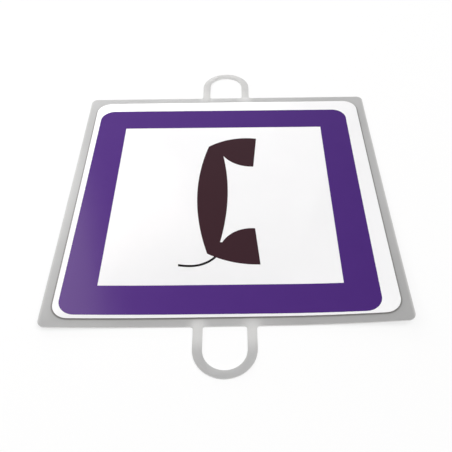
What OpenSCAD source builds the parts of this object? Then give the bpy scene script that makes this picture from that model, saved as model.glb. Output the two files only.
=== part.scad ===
// Portable road information sign: a grey plastic carrier plate with a pole loop
// at the top and one at the bottom, and a printed white panel glued to its face.
// It lies on its back, and its two near corners have curled up a little.
// X runs across the sign, Y up the sign, Z out of its face. The origin is at the
// centre of the plate's underside.

/* [Carrier plate] */
// Width of the plate
plate_w = 342; // [320:1:400]
// Height of the plate without its loops
plate_h = 339; // [320:1:400]
// Thickness of the plastic sheet that the plate and its loops are cut from
plate_t = 1.5; // [1:0.1:3]
// Radius of the plate's corners
plate_corner_r = 7; // [3:0.5:20]

/* [Pole loops] */
// Width of the window that the pole goes through
window_w = 40; // [30:1:50]
// Depth of the window, from the plate's edge to its round end
window_d = 44; // [36:1:60]
// Width of each leg of the loop
leg_w = 9; // [6:0.5:14]
// Width of the band round the far end of the loop
band_w = 8; // [6:0.5:14]
// Radius of the fillets outside the legs, where they leave the plate
root_outer_r = 3; // [1:0.5:6]
// Radius of the fillets in the corners of the window
root_inner_r = 2.5; // [1:0.5:6]
// Distance of the loops from the middle of the plate, negative to the left
loop_shift_x = -1.5; // [-10:0.5:10]

/* [Curled corners] */
// How far the near left corner of the plate has curled up
curl_left = 3.5; // [0.5:0.5:8]
// How far the near right corner of the plate has curled up
curl_right = 6; // [0.5:0.5:8]
// Flat stretch of the near edge between the loop's root and the start of a curl
curl_clear = 2; // [1:0.5:10]

/* [Printed panel] */
// Grey rim that the plate shows left and right of the panel
rim_x = 10; // [6:0.5:16]
// Grey rim that the plate shows above and below the panel
rim_y = 9.5; // [6:0.5:16]
// Distance of the panel from the middle of the plate, negative downwards
panel_shift_y = -0.5; // [-5:0.5:5]
// Thickness of the panel
panel_t = 1; // [0.5:0.1:2]
// Radius of the panel's corners
panel_corner_r = 16; // [8:0.5:30]

/* [Print] */
// White that the panel would show all round a centred print, where it is narrower
print_margin = 10; // [8:0.5:20]
// Misprint across the sign, negative to the left
print_shift_x = -5.1; // [-7:0.1:7]
// Misprint up the sign, negative downwards
print_shift_y = -6.8; // [-7.5:0.1:7.5]
// Turn of the print on the panel, in degrees
print_turn = -0.3; // [-0.5:0.05:0.5]
// Thickness of the ink
ink_t = 0.1; // [0.05:0.05:0.3]
// Width of the coloured border
border_w = 33; // [20:0.5:36]
// Radius of the border's outer corners
border_corner_r = 16; // [8:0.5:30]

/* [Handset figure: handle] */
// Radius of the handle's back
back_r = 282; // [230:1:400]
// Leftmost point of the handle's back, from the middle of the print
back_x = -27; // [-34:0.5:-24]
// Radius of the handle's front
front_r = 336; // [280:1:450]
// Rightmost point of the handle's front
front_x = 6; // [2:0.5:9]
// Height of the handle's middle
handle_y = 6; // [0:0.5:10]

/* [Handset figure: earpiece] */
// Radius of the crown over the earpiece
crown_r = 70.5; // [66:0.5:80]
// Place of the crown's highest point across the sign
crown_x = 26.5; // [22:0.5:32]
// Height of the crown's highest point
crown_y = 97; // [92:0.5:104]
// Radius of the earpiece's cup
ear_r = 38.5; // [36:0.5:42]
// Place of the cup's lowest point across the sign
ear_x = 33.5; // [30:0.5:36]
// Height of the cup's lowest point
ear_y = 47.5; // [42:0.5:53]
// Height above which handle and earpiece are one
ear_notch_y = 66; // [62:0.5:70]

/* [Handset figure: mouthpiece] */
// Radius of the sole under the mouthpiece
sole_r = 98; // [92:0.5:125]
// Place of the sole's lowest point across the sign
sole_x = 37; // [34:0.5:42]
// Height of the sole's lowest point
sole_y = -93; // [-100:0.5:-90]
// Radius of the mouthpiece's cup
mouth_r = 33; // [31:0.5:38]
// Place of the cup's highest point across the sign
mouth_x = 30.5; // [28:0.5:33]
// Height of the cup's highest point
mouth_y = -45.5; // [-51:0.5:-40]
// Height below which handle and mouthpiece are one
mouth_notch_y = -64; // [-68:0.5:-60]

/* [Handset figure: flat faces of the cups] */
// Where the two faces would meet, from the middle of the print
face_x = 30.5; // [28:0.5:36]
// Lean of each face, in degrees
face_lean = 5; // [2:0.5:8]

/* [Cord figure] */
// Width of the cord's line
cord_w = 2.6; // [1.5:0.1:4]
// Place of the lowest point of its middle line across the sign
cord_x = -29.5; // [-34:0.5:-26]
// How far that point lies below the lowest point of the sole
cord_drop = 1; // [-2:0.5:4]
// Radius of the bend that rises to the handset
cord_bend_r = 31; // [28:0.5:36]
// Radius of the flat sweep at the free end
cord_sweep_r = 64; // [50:1:90]
// Length of the flat sweep across the sign
cord_sweep_w = 12.5; // [6:0.5:20]

/* [Hidden] */
$fn = 360;
// A curl is a short arc of a very large ring, so that one takes more
ring_facets = 2880;

window_r = window_w / 2;
loop_r = window_r + leg_w;
loop_reach = window_d + band_w;

panel_w = plate_w - 2 * rim_x;
panel_h = plate_h - 2 * rim_y;
print_side = min(panel_w, panel_h) - 2 * print_margin;
white_side = print_side - 2 * border_w;

panel_z = plate_t;
ink_z = panel_z + panel_t;

// A curl starts at its bend line, from a far corner to bend_x on the near edge
bend_x = abs(loop_shift_x) + loop_r + root_outer_r + curl_clear;
bend_run = plate_w / 2 - bend_x;
bend_lean = atan(bend_run / plate_h);
// Distance of a near corner from its bend line
bend_reach = bend_run * cos(bend_lean);
// Rise of each near corner, the right one first and its mirror image on the left next
curl_rises = [curl_right, curl_left];
// Flat margin along a bend line, on its inner side, that a curl shares with the middle
curl_lap = curl_clear / 2;
// Higher than all of the curled sheet
curl_top = ink_z + ink_t + 2 * max(curl_left, curl_right);

// Far more than any figure on the print, for the shapes that only cut
beyond = 2 * print_side;

// Rectangle about the origin, with true arcs at its corners
module rounded_rectangle(w, h, r) {
    square([w - 2 * r, h], center = true);
    square([w, h - 2 * r], center = true);
    for (x = [-1, 1], y = [-1, 1]) {
        translate([x * (w / 2 - r), y * (h / 2 - r)]) circle(r);
    }
}

// What fills a square inner corner at the origin, up to an arc of radius r
module fillet(r) {
    difference() {
        square(r);
        translate([r, r]) circle(r);
    }
}

// A stretch from the plate's edge at y = 0 that ends in a half circle at reach
module tongue(r, reach) {
    translate([0, reach - r]) circle(r);
    translate([-r, 0]) square([2 * r, reach - r]);
}

// The window of a loop, with its two corners at the plate's edge filled
module window_outline() {
    difference() {
        tongue(window_r, window_d);
        translate([-window_r, 0]) fillet(root_inner_r);
        translate([window_r, 0]) mirror([1, 0]) fillet(root_inner_r);
    }
}

// One loop that stands on an edge at y = 0 and has its foot in the plate
module loop_outline() {
    difference() {
        union() {
            tongue(loop_r, loop_reach);
            translate([loop_r, 0]) fillet(root_outer_r);
            translate([-loop_r, 0]) mirror([1, 0]) fillet(root_outer_r);
        }
        window_outline();
    }
}

// All that lies outside the right bend line, seen from above
module beyond_bend() {
    translate([plate_w / 2, plate_h / 2]) rotate(-bend_lean) {
        translate([0, -beyond]) square([beyond, 2 * beyond]);
    }
}

// Section across a bend line at the origin of a sheet from height z to z + t: the flat
// margin, and then the arc that lifts the corner by rise
module curl_profile(rise, z, t) {
    r = (bend_reach ^ 2 + rise ^ 2) / (2 * rise);
    translate([-curl_lap, z]) square([curl_lap, t]);
    intersection() {
        translate([0, r]) difference() {
            circle(r - z, $fn = ring_facets);
            circle(r - z - t, $fn = ring_facets);
        }
        square([beyond, curl_top]);
    }
}

// A sheet from height z to z + t. The first outline curls up beyond the bend lines,
// and a second one lies flat.
module sheet(z, t) {
    translate([0, 0, z]) linear_extrude(t) {
        difference() {
            children(0);
            for (side = [0, 1]) mirror([side, 0]) beyond_bend();
        }
        if ($children > 1) children(1);
    }
    for (side = [0, 1]) intersection() {
        linear_extrude(curl_top) children(0);
        mirror([side, 0, 0]) translate([plate_w / 2, plate_h / 2, 0]) rotate([90, 0, -bend_lean]) {
            linear_extrude(2 * beyond, center = true) curl_profile(curl_rises[side], z, t);
        }
    }
}

// One loop in the middle of the far edge, and one in the middle of the near edge
module loops_outline() {
    for (side = [0, 1]) mirror([0, side]) {
        translate([loop_shift_x, plate_h / 2]) loop_outline();
    }
}

// The whole sheet is one piece, loops and all
module carrier_plate() {
    color([0.76, 0.76, 0.75]) sheet(0, plate_t) {
        rounded_rectangle(plate_w, plate_h, plate_corner_r);
        loops_outline();
    }
}

// The white panel, glued face to face on the plate
module printed_panel() {
    color([0.97, 0.97, 0.98]) sheet(panel_z, panel_t) {
        translate([0, panel_shift_y]) rounded_rectangle(panel_w, panel_h, panel_corner_r);
    }
}

// Places a figure on the panel, askew as it was printed
module printed() {
    translate([print_shift_x, panel_shift_y + print_shift_y]) rotate(print_turn) children();
}

// Rounded outside and square inside
module border_outline() {
    difference() {
        rounded_rectangle(print_side, print_side, border_corner_r);
        square(white_side, center = true);
    }
}

module border_print() {
    color([0.36, 0.23, 0.52]) sheet(ink_z, ink_t) printed() border_outline();
}

// Ink for what lies all between the bend lines
module flat_ink() {
    translate([0, 0, ink_z]) linear_extrude(ink_t) printed() children();
}

// The handle is what two large circles share, one for its back and one for its front
module handle_outline() {
    intersection() {
        translate([back_x + back_r, handle_y]) circle(back_r);
        translate([front_x - front_r, handle_y]) circle(front_r);
    }
}

// Everything on the handle's side of a cup's flat face: side is 1 above, -1 below
module behind_face(side) {
    translate([face_x, 0]) rotate(-side * face_lean) {
        translate([-beyond, side > 0 ? 0 : -beyond]) square(beyond);
    }
}

// What joins a cup to the handle: all between them from height y away from the middle,
// as far as the cup's radius r reaches
module neck(cup_x, r, y) {
    translate([back_x / 2, y > 0 ? y : y - r]) square([cup_x - back_x / 2, r]);
}

// Round below and flat on the right
module earpiece_outline() {
    intersection() {
        union() {
            translate([ear_x, ear_y + ear_r]) circle(ear_r);
            neck(ear_x, ear_r, ear_notch_y);
        }
        behind_face(1);
    }
}

// Round above and flat on the right
module mouthpiece_outline() {
    intersection() {
        union() {
            translate([mouth_x, mouth_y - mouth_r]) circle(mouth_r);
            neck(mouth_x, mouth_r, mouth_notch_y);
        }
        behind_face(-1);
    }
}

// All that lies under an arch whose highest point is at the origin
module under_arch(r) {
    translate([0, -r]) circle(r);
    translate([-r, -r - beyond]) square([2 * r, beyond]);
}

// Handle and cups, trimmed by the crown above and by the sole below
module handset_outline() {
    intersection() {
        union() {
            handle_outline();
            earpiece_outline();
            mouthpiece_outline();
        }
        translate([crown_x, crown_y]) under_arch(crown_r);
        translate([sole_x, sole_y]) mirror([0, 1]) under_arch(sole_r);
    }
}

module handset_print() {
    color([0.27, 0.17, 0.2]) flat_ink() handset_outline();
}

// A line as wide as the cord, round a circle whose lowest point is at the origin
module cord_circle(r) {
    translate([0, r]) difference() {
        circle(r + cord_w / 2);
        circle(r - cord_w / 2);
    }
}

// A flat sweep to the left and a tighter bend to the right of their lowest point
module cord_outline() {
    translate([cord_x, sole_y - cord_drop]) {
        intersection() {
            cord_circle(cord_sweep_r);
            translate([-cord_sweep_w, -cord_w]) square([cord_sweep_w, 3 * cord_w]);
        }
        intersection() {
            cord_circle(cord_bend_r);
            translate([0, -cord_w]) square([cord_bend_r, cord_w + cord_bend_r / 2]);
        }
    }
}

// The cord's line ends where it meets the handset
module cord_print() {
    color([0.1, 0.08, 0.1]) flat_ink() difference() {
        cord_outline();
        handset_outline();
    }
}

carrier_plate();
printed_panel();
border_print();
handset_print();
cord_print();
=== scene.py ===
import math

import bmesh
import bpy
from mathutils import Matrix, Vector


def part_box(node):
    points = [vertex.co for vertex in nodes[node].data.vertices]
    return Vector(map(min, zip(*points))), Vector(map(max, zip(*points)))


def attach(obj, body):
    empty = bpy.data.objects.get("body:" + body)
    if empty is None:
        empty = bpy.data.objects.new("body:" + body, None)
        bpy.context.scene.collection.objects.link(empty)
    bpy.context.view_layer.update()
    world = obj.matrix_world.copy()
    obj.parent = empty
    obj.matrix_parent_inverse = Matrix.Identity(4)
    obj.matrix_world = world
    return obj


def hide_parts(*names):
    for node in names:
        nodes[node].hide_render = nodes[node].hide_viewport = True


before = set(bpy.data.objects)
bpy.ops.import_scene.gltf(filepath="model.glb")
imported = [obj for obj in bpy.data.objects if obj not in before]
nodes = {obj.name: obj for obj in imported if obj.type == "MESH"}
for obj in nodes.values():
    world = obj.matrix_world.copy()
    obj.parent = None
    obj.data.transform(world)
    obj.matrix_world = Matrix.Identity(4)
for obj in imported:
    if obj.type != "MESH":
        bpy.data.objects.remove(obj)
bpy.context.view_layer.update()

scene = bpy.context.scene

# Carrier plate
# One sheet of polyethylene, 1.5 mm thick, extruded and die-cut together with its two
# pole loops. It bends by hand, so the loops slip over a pole. It is paler where the loops
# leave it, and its two near corners have curled up.
MM = 0.001
corner_x, corner_y = 171 * MM, 169.5 * MM

# A corner curls beyond a line that runs from the far corner to the near edge
bend_x = 35.5 * MM
bend_lean = math.atan((corner_x - bend_x) / (2 * corner_y))
bend_reach = (corner_x - bend_x) * math.cos(bend_lean)
curl_rises = {-1: 3.5 * MM, 1: 6 * MM}


def bend(mesh, way):
    """Takes the points of a flat sheet up to their places on the curled one, where way is
    1, or back down, where it is -1. The near loop lies beyond near_edge and stays flat."""
    near_edge = -corner_y - 0.01 * MM
    for vert in mesh.verts:
        side = math.copysign(1, vert.co.x)
        past = ((abs(vert.co.x) - corner_x) * math.cos(bend_lean)
                - (vert.co.y - corner_y) * math.sin(bend_lean))
        if past > 0 and vert.co.y > near_edge:
            rise = curl_rises[side]
            radius = (bend_reach ** 2 + rise ** 2) / (2 * rise)
            vert.co.z = radius - math.sqrt((radius - vert.co.z) ** 2 - way * past ** 2)


def sheet_piece(name, node, rim):
    """The node's sheet with its rims rounded by this much, in narrow strips where it curls.
    Angles are in radians, between one face and the next."""
    same_point = 0.002 * MM
    same_plane = 0.001 * MM
    flat_angle = math.radians(1)
    rim_angle = 1.0
    smooth_angle = 0.7
    strip = 5 * MM

    mesh = bmesh.new()
    mesh.from_mesh(nodes[node].data)
    bmesh.ops.remove_doubles(mesh, verts=mesh.verts, dist=same_point)
    bend(mesh, -1)
    bmesh.ops.dissolve_limit(mesh, angle_limit=flat_angle, verts=mesh.verts, edges=mesh.edges)
    if rim:
        rims = [edge for edge in mesh.edges
                if len(edge.link_faces) == 2 and edge.calc_face_angle() > rim_angle]
        bmesh.ops.bevel(mesh, geom=rims, affect="EDGES", offset_type="OFFSET", offset=rim,
                        segments=2, profile=0.5, material=-1)
    for side in curl_rises:
        across = Vector((side * math.cos(bend_lean), -math.sin(bend_lean), 0))
        for step in range(int(bend_reach / strip) + 1):
            start = Vector((side * corner_x, corner_y, 0)) + across * step * strip
            everything = mesh.verts[:] + mesh.edges[:] + mesh.faces[:]
            bmesh.ops.bisect_plane(mesh, geom=everything, dist=same_plane, plane_co=start,
                                   plane_no=across)
    bend(mesh, 1)
    bmesh.ops.recalc_face_normals(mesh, faces=mesh.faces)
    for face in mesh.faces:
        face.smooth = True
    for edge in mesh.edges:
        edge.smooth = len(edge.link_faces) == 2 and edge.calc_face_angle() < smooth_angle

    piece = bpy.data.objects.new(name, bpy.data.meshes.new(name))
    mesh.to_mesh(piece.data)
    mesh.free()
    scene.collection.objects.link(piece)
    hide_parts(node)
    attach(piece, "root")
    return piece


plate = sheet_piece("plate", "carrier_plate", rim=0.2 * MM)


def linear(hex_colour):
    """A colour written as sRGB hex, as the linear values that a shader takes"""
    parts = [int(hex_colour[i:i + 2], 16) / 255 for i in (1, 3, 5)]
    lit = [c / 12.92 if c <= 0.04045 else ((c + 0.055) / 1.055) ** 2.4 for c in parts]
    return (*lit, 1.0)


def new_material(name):
    """An empty node material"""
    material = bpy.data.materials.new(name)
    material.use_nodes = True
    material.node_tree.nodes.clear()
    return material


def add(material, kind, settings=None, **links):
    """One more node: its settings, and what is linked to each of its sockets. A socket that
    shares its name with others goes by its number: a colour mix takes its share at 0 and
    its two colours at 6 and 7."""
    tree = material.node_tree
    new = tree.nodes.new(kind)
    for name, value in (settings or {}).items():
        if isinstance(name, str) and hasattr(new, name):
            setattr(new, name, value)
        else:
            new.inputs[name].default_value = value
    for name, source in links.items():
        socket = int(name[1:]) if name[1:].isdigit() else name.replace("_", " ")
        tree.links.new(source, new.inputs[socket])
    return new


def oval_reach(material, place, middle, size):
    """How far a place is from the middle of an oval on the sheet: 1 is on its outline. Size
    holds its two half axes, and the third is a metre, so that the height hardly counts."""
    away = add(material, "ShaderNodeVectorMath", {"operation": "SUBTRACT", 1: middle}, _0=place)
    shaped = add(material, "ShaderNodeVectorMath", {"operation": "DIVIDE", 1: (*size, 1)},
                 _0=away.outputs[0])
    reach = add(material, "ShaderNodeVectorMath", {"operation": "LENGTH"}, _0=shaped.outputs[0])
    return reach.outputs["Value"]


def edge_share(material, on_face, on_edge, most):
    """0 on the sheet's faces, rising to most on its cut edges. The rise begins where the Z of
    the surface's normal has sunk to on_face, and ends where it is on_edge."""
    normal = add(material, "ShaderNodeTexCoord").outputs["Normal"]
    facing = add(material, "ShaderNodeSeparateXYZ", Vector=normal)
    upright = add(material, "ShaderNodeMath", {"operation": "ABSOLUTE"}, _0=facing.outputs["Z"])
    share = add(material, "ShaderNodeMapRange",
                {"interpolation_type": "SMOOTHSTEP", "From Min": on_face, "From Max": on_edge,
                 "To Min": 0.0, "To Max": most},
                Value=upright.outputs[0])
    return share.outputs[0]


def grained_skin(material, place, grain, detail, strength):
    """A bump 0.05 mm deep, with grains of this size"""
    grains = add(material, "ShaderNodeTexNoise", {"Scale": 1 / grain, "Detail": detail},
                 Vector=place)
    bump = add(material, "ShaderNodeBump", {"Strength": strength, "Distance": 0.05 * MM},
               Height=grains.outputs["Fac"])
    return bump.outputs[0]


def give(material, *pieces):
    """These pieces wear this material and no other"""
    for piece in pieces:
        piece.data.materials.clear()
        piece.data.materials.append(material)
        for face in piece.data.polygons:
            face.material_index = 0


# Extruded polyethylene has a satin, slightly cloudy skin with a soft, wide sheen
polyethylene = new_material("extruded_polyethylene")
place = add(polyethylene, "ShaderNodeTexCoord").outputs["Object"]
clouds = add(polyethylene, "ShaderNodeTexNoise",
             {"Scale": 1 / (45 * MM), "Detail": 4.0, "Roughness": 0.6}, Vector=place)
grey = add(polyethylene, "ShaderNodeMix",
           {"data_type": "RGBA", 6: linear("#adadad"), 7: linear("#b9b9b9")},
           _0=clouds.outputs["Fac"])

# Paler patches where each leg leaves the plate, the same at all four legs
loop_x = -1.5 * MM
leg_x = 24.5 * MM
root_y = corner_y + 6 * MM
from_loop = add(polyethylene, "ShaderNodeVectorMath",
                {"operation": "SUBTRACT", 1: (loop_x, 0, 0)}, _0=place)
any_leg = add(polyethylene, "ShaderNodeVectorMath", {"operation": "ABSOLUTE"},
              _0=from_loop.outputs[0])
root_reach = oval_reach(polyethylene, any_leg.outputs[0], (leg_x, root_y, 0), (14 * MM, 24 * MM))
root_patch = add(polyethylene, "ShaderNodeMapRange",
             {"interpolation_type": "SMOOTHSTEP", "From Min": 1.0, "From Max": 0.2,
              "To Min": 0.0, "To Max": 0.95},
             Value=root_reach)

# Painted light: the far loop is painted paler all over, as the far side of the sheet catches
# more light and sheen
height = add(polyethylene, "ShaderNodeSeparateXYZ", Vector=place)
far_loop_light = add(polyethylene, "ShaderNodeMapRange",
               {"From Min": corner_y + 2 * MM, "From Max": corner_y + 16 * MM,
                "To Min": 0.0, "To Max": 0.7},
               Value=height.outputs["Y"])

# Painted light: the middle of the left edge is painted paler too, where the light from the left
# falls strongest
left_edge_light_reach = oval_reach(polyethylene, place, (-corner_x, 0, 0), (18 * MM, 120 * MM))
left_edge_light = add(polyethylene, "ShaderNodeMapRange",
             {"interpolation_type": "SMOOTHSTEP", "From Min": 1.0, "From Max": 0.1,
              "To Min": 0.0, "To Max": 0.5},
             Value=left_edge_light_reach)
# The pale root patches, and the painted light on the far loop and the left edge, share one pale
# colour
root_patch_and_painted_light = add(polyethylene, "ShaderNodeMath", {"operation": "MAXIMUM"},
               _0=root_patch.outputs[0], _1=far_loop_light.outputs[0])
pale_and_light = add(polyethylene, "ShaderNodeMath", {"operation": "MAXIMUM"},
            _0=root_patch_and_painted_light.outputs[0], _1=left_edge_light.outputs[0])
with_pale_and_light = add(polyethylene, "ShaderNodeMix", {"data_type": "RGBA", 7: linear("#cdcdcc")},
                _0=pale_and_light.outputs[0], _6=grey.outputs[2])

# A dark line along the panel's edge is painted contact shadow of its 1 mm step and partly a
# glue line, with a faint painted shadow round it. The middle of a corner's arc is put a metre
# up, so that the height doesn't count.
panel_low, panel_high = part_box("printed_panel")
panel_half = (panel_high - panel_low) / 2
panel_middle = (panel_high + panel_low) / 2
panel_corner = 16 * MM
corner_middle = (panel_half.x - panel_corner, panel_half.y - panel_corner, 1)
from_panel = add(polyethylene, "ShaderNodeVectorMath",
                 {"operation": "SUBTRACT", 1: (panel_middle.x, panel_middle.y, 0)}, _0=place)
any_corner = add(polyethylene, "ShaderNodeVectorMath", {"operation": "ABSOLUTE"},
                 _0=from_panel.outputs[0])
past_middle = add(polyethylene, "ShaderNodeVectorMath",
                  {"operation": "SUBTRACT", 1: corner_middle}, _0=any_corner.outputs[0])
outside = add(polyethylene, "ShaderNodeVectorMath", {"operation": "MAXIMUM", 1: (0, 0, 0)},
              _0=past_middle.outputs[0])
edge_reach = add(polyethylene, "ShaderNodeVectorMath", {"operation": "LENGTH"},
                 _0=outside.outputs[0])
soft_shadow = add(polyethylene, "ShaderNodeMapRange",
           {"From Min": panel_corner + 7 * MM, "From Max": panel_corner,
            "To Min": 0.0, "To Max": 0.12},
           Value=edge_reach.outputs["Value"])
with_soft_shadow = add(polyethylene, "ShaderNodeMix", {"data_type": "RGBA", 7: linear("#6f6d6b")},
                _0=soft_shadow.outputs[0], _6=with_pale_and_light.outputs[2])
shadow_and_glue_line = add(polyethylene, "ShaderNodeMapRange",
           {"interpolation_type": "SMOOTHSTEP", "From Min": panel_corner + 2.2 * MM,
            "From Max": panel_corner + 0.4 * MM, "To Min": 0.0, "To Max": 0.8},
           Value=edge_reach.outputs["Value"])
with_shadow_and_glue_line = add(polyethylene, "ShaderNodeMix", {"data_type": "RGBA", 7: linear("#63605d")},
                _0=shadow_and_glue_line.outputs[0], _6=with_soft_shadow.outputs[2])

# Painted shade: the sheet is painted darker round its near right corner, where less light falls,
# but not between the loops
shade_reach = oval_reach(polyethylene, place, (corner_x, -corner_y, 0), (320 * MM, 155 * MM))
painted_shade = add(polyethylene, "ShaderNodeMapRange",
            {"From Min": 1.0, "From Max": 0.0, "To Min": 0.02, "To Max": 0.37},
            Value=shade_reach)
off_loop = add(polyethylene, "ShaderNodeSeparateXYZ", Vector=any_leg.outputs[0])
on_plate = add(polyethylene, "ShaderNodeMapRange", {"From Min": 25 * MM, "From Max": 70 * MM},
               Value=off_loop.outputs["X"])
shade_on_corner = add(polyethylene, "ShaderNodeMath", {"operation": "MULTIPLY"},
                _0=painted_shade.outputs[0], _1=on_plate.outputs[0])
with_shade = add(polyethylene, "ShaderNodeMix", {"data_type": "RGBA", 7: linear("#7c7b7a")},
                 _0=shade_on_corner.outputs[0], _6=with_shadow_and_glue_line.outputs[2])

# Painted glow: light that enters the sheet leaves it at its cut edges, so these are painted
# as its palest part, and a pale rim is painted along the sides, where it shows through the face.
either_side = add(polyethylene, "ShaderNodeVectorMath", {"operation": "ABSOLUTE"}, _0=place)
side_reach = add(polyethylene, "ShaderNodeSeparateXYZ", Vector=either_side.outputs[0])
rim_glow = add(polyethylene, "ShaderNodeMapRange",
               {"interpolation_type": "SMOOTHSTEP", "From Min": corner_x - 2.6 * MM,
                "From Max": corner_x, "To Min": 0.0, "To Max": 0.5},
               Value=side_reach.outputs["X"])
with_rim_glow = add(polyethylene, "ShaderNodeMix", {"data_type": "RGBA", 7: linear("#d6d6d5")},
               _0=rim_glow.outputs[0], _6=with_shade.outputs[2])
edge_glow = edge_share(polyethylene, on_face=0.9, on_edge=0.4, most=1.0)
with_edge_glow = add(polyethylene, "ShaderNodeMix", {"data_type": "RGBA", 7: linear("#e6e6e5")},
               _0=edge_glow, _6=with_rim_glow.outputs[2])

# The pebbled skin is finer than this on the real sheet, and drawn coarse enough to show
pebbles = grained_skin(polyethylene, place, grain=1.6 * MM, detail=2.0, strength=0.12)
satin = add(polyethylene, "ShaderNodeMapRange", {"To Min": 0.46, "To Max": 0.54},
            Value=clouds.outputs["Fac"])
plastic = add(polyethylene, "ShaderNodeBsdfPrincipled",
              {"IOR": 1.54, "Subsurface Weight": 0.08,
               "Subsurface Radius": (2 * MM, 2 * MM, 2 * MM), "Subsurface Scale": 1.0},
              Base_Color=with_edge_glow.outputs[2], Roughness=satin.outputs[0], Normal=pebbles)
add(polyethylene, "ShaderNodeOutputMaterial", Surface=plastic.outputs[0])
give(polyethylene, plate, nodes["carrier_plate"])

# Printed panel
# White rigid PVC sheet, 1 mm thick, pressed smooth and cut with round corners. It is
# glued to the plate all over, half a millimetre low on it, and follows its curl.
panel = sheet_piece("panel", "printed_panel", rim=0.15 * MM)

# Pressed PVC has a half gloss with a faint orange peel, and an almost even white
pvc = new_material("pressed_white_pvc")
place = add(pvc, "ShaderNodeTexCoord").outputs["Object"]
clouds = add(pvc, "ShaderNodeTexNoise", {"Scale": 1 / (60 * MM), "Detail": 3.0}, Vector=place)
white = add(pvc, "ShaderNodeMix",
            {"data_type": "RGBA", 6: linear("#f4f4f5"), 7: linear("#f8f8f9")},
            _0=clouds.outputs["Fac"])
orange_peel = grained_skin(pvc, place, grain=3 * MM, detail=1.0, strength=0.08)
gloss = add(pvc, "ShaderNodeMapRange", {"To Min": 0.2, "To Max": 0.26},
            Value=clouds.outputs["Fac"])

# Painted shade: the sawn edges are painted darker, as they stand in shade
edge_shade = edge_share(pvc, on_face=0.7, on_edge=0.3, most=0.9)
with_edge_shade = add(pvc, "ShaderNodeMix", {"data_type": "RGBA", 7: linear("#979491")},
             _0=edge_shade, _6=white.outputs[2])
plastic = add(pvc, "ShaderNodeBsdfPrincipled", {"IOR": 1.53},
              Base_Color=with_edge_shade.outputs[2], Roughness=gloss.outputs[0], Normal=orange_peel)
add(pvc, "ShaderNodeOutputMaterial", Surface=plastic.outputs[0])
give(pvc, panel, nodes["printed_panel"])

# Print
# Three inks, screen printed on the panel: the purple border, the dark figure of the
# handset and the line of its cord. The print sits low and to the left.


def screen_ink(name, lighter_colour, darker_colour):
    """A half-gloss film of ink, a little cloudy all over. Its colour is painted lighter
    towards the print's left side, as painted light falling from the left"""
    ink = new_material(name)
    side_x = 150 * MM
    place = add(ink, "ShaderNodeTexCoord").outputs["Object"]
    clouds = add(ink, "ShaderNodeTexNoise",
                 {"Scale": 1 / (30 * MM), "Detail": 4.0, "Roughness": 0.65}, Vector=place)
    # Painted light: a ramp makes the ink's colour lighter towards the left side
    across = add(ink, "ShaderNodeSeparateXYZ", Vector=place)
    left_light = add(ink, "ShaderNodeMapRange", {"From Min": side_x, "From Max": -side_x},
                  Value=across.outputs["X"])
    light_and_clouds = add(ink, "ShaderNodeMix", {"data_type": "FLOAT", 0: 0.75},
                   _2=clouds.outputs["Fac"], _3=left_light.outputs[0])
    ink_tone = add(ink, "ShaderNodeMix", {"data_type": "RGBA", 6: linear(darker_colour), 7: linear(lighter_colour)},
               _0=light_and_clouds.outputs[0])
    orange_peel = grained_skin(ink, place, grain=2.5 * MM, detail=1.0, strength=0.08)
    gloss = add(ink, "ShaderNodeMapRange", {"To Min": 0.12, "To Max": 0.16},
                Value=clouds.outputs["Fac"])
    surface = add(ink, "ShaderNodeBsdfPrincipled", {"IOR": 1.5, "Specular IOR Level": 0.35},
                  Base_Color=ink_tone.outputs[2], Roughness=gloss.outputs[0], Normal=orange_peel)
    add(ink, "ShaderNodeOutputMaterial", Surface=surface.outputs[0])
    return ink


border = sheet_piece("border", "border_print", rim=0)
give(screen_ink("purple_screen_ink", "#512c80", "#421c71"), border, nodes["border_print"])
give(screen_ink("brown_screen_ink", "#391a24", "#31161f"), nodes["handset_print"])
give(screen_ink("black_screen_ink", "#140f14", "#100b10"), nodes["cord_print"])

# Table
# A plain white, matt surface, 80 m wide so that it reaches to the horizon. The sign lies
# on its back on it, a hair above it.
table_half = 40
hair = 0.05 * MM
table_mesh = bmesh.new()
bmesh.ops.create_grid(table_mesh, x_segments=1, y_segments=1, size=table_half)
bmesh.ops.translate(table_mesh, verts=table_mesh.verts, vec=Vector((0, 0, -hair)))
table = bpy.data.objects.new("table", bpy.data.meshes.new("table"))
table_mesh.to_mesh(table.data)
table_mesh.free()
scene.collection.objects.link(table)

# The camera and reflections see three parts of plain white to one of the lit surface,
# which has the sign's shadow, and away from the sign they see plain white alone
matt_white = new_material("matt_white_table")
lit = add(matt_white, "ShaderNodeBsdfDiffuse", {"Color": linear("#f8f8f8")})
plain = add(matt_white, "ShaderNodeEmission", {"Color": linear("#ffffff"), "Strength": 1.0})
path = add(matt_white, "ShaderNodeLightPath")
seen = add(matt_white, "ShaderNodeMath", {"operation": "ADD"},
           _0=path.outputs["Is Camera Ray"], _1=path.outputs["Is Glossy Ray"])
seen_too = add(matt_white, "ShaderNodeMath", {"operation": "ADD"},
               _0=seen.outputs[0], _1=path.outputs["Is Transmission Ray"])
place = add(matt_white, "ShaderNodeTexCoord").outputs["Object"]
from_sign = add(matt_white, "ShaderNodeVectorMath", {"operation": "LENGTH"}, _0=place)
whiter = add(matt_white, "ShaderNodeMapRange",
             {"interpolation_type": "SMOOTHSTEP", "From Min": 0.3, "From Max": 0.8,
              "To Min": 0.75, "To Max": 1.0},
             Value=from_sign.outputs["Value"])
share = add(matt_white, "ShaderNodeMath", {"operation": "MULTIPLY", "use_clamp": True},
            _0=seen_too.outputs[0], _1=whiter.outputs[0])
surface = add(matt_white, "ShaderNodeMixShader",
              _0=share.outputs[0], _1=lit.outputs[0], _2=plain.outputs[0])
add(matt_white, "ShaderNodeOutputMaterial", Surface=surface.outputs[0])
give(matt_white, table)

# Light
# A large soft lamp high at the right, three small ones at the left and at the back, and
# a warm card. The room round them is grey overhead and white at the horizon and below.


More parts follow.
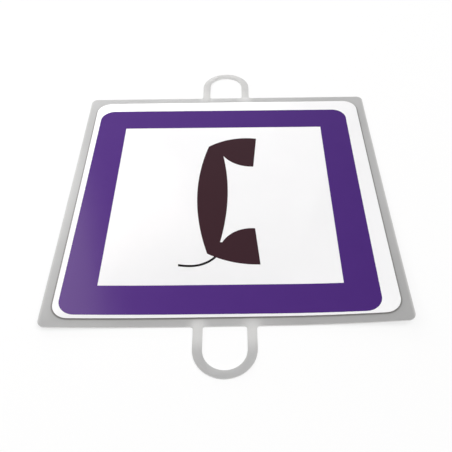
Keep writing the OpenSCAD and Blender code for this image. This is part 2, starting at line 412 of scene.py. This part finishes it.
def soft_lamp(name, azimuth, elevation, distance, width, height, power, colour="#ffffff", aim=0):
    """A lamp that looks at a point over the sign's middle, aim metres up. Azimuth runs to
    the right from +Y. Sizes are in metres, and power is in watts."""
    data = bpy.data.lights.new(name, "AREA")
    data.shape = "RECTANGLE"
    data.size, data.size_y = width, height
    data.energy = power
    data.color = linear(colour)[:3]
    lamp = bpy.data.objects.new(name, data)
    turn, rise = math.radians(azimuth), math.radians(elevation)
    lamp.location = (distance * math.sin(turn) * math.cos(rise),
                     distance * math.cos(turn) * math.cos(rise),
                     distance * math.sin(rise))
    looks = Vector((0, 0, aim)) - lamp.location
    lamp.rotation_euler = looks.to_track_quat("-Z", "Y").to_euler()
    lamp.visible_camera = False
    scene.collection.objects.link(lamp)


soft_lamp("near_left_lamp", azimuth=-80, elevation=40, distance=1.1,
          width=0.6, height=0.6, power=2.4)
soft_lamp("back_left_lamp", azimuth=-35, elevation=18, distance=2.0,
          width=0.8, height=0.8, power=8.0)
soft_lamp("back_lamp", azimuth=-5, elevation=14, distance=2.0,
          width=0.8, height=0.8, power=5.2)
soft_lamp("right_lamp", azimuth=90, elevation=62, distance=5.0,
          width=3.0, height=3.0, power=122)
# The upright card shows in the gloss of the near left corner
soft_lamp("warm_card", azimuth=-35, elevation=52.6, distance=2.14,
          width=0.5, height=1.4, power=4.9, colour="#fff0ea", aim=1.7)

room = bpy.data.worlds.new("room")
room.use_nodes = True
room.node_tree.nodes.clear()
direction = add(room, "ShaderNodeTexCoord").outputs["Generated"]
steepness = add(room, "ShaderNodeSeparateXYZ", Vector=direction)
walls = add(room, "ShaderNodeMapRange",
            {"interpolation_type": "SMOOTHSTEP", "From Min": 0.08, "From Max": 0.3,
             "To Min": 1.0, "To Max": 0.4},
            Value=steepness.outputs["Z"])
glow = add(room, "ShaderNodeBackground", {"Color": linear("#ffffff")},
           Strength=walls.outputs[0])
add(room, "ShaderNodeOutputWorld", Surface=glow.outputs[0])
scene.world = room

# Camera
# Held 0.47 m over the table, a quarter of a metre short of the sign's near loop. It
# looks down at the sign, 42 degrees from straight down.
lens_data = bpy.data.cameras.new("camera")
lens_data.sensor_width = 36
lens_data.lens = 48.29
lens_data.shift_x = -0.0346
camera = bpy.data.objects.new("camera", lens_data)
camera.location = (11.93 * MM, -466.46 * MM, 469.53 * MM)
camera.rotation_euler = (math.radians(41.74), math.radians(0.329), math.radians(-0.832))
scene.collection.objects.link(camera)
scene.camera = camera
scene.view_settings.view_transform = "Standard"
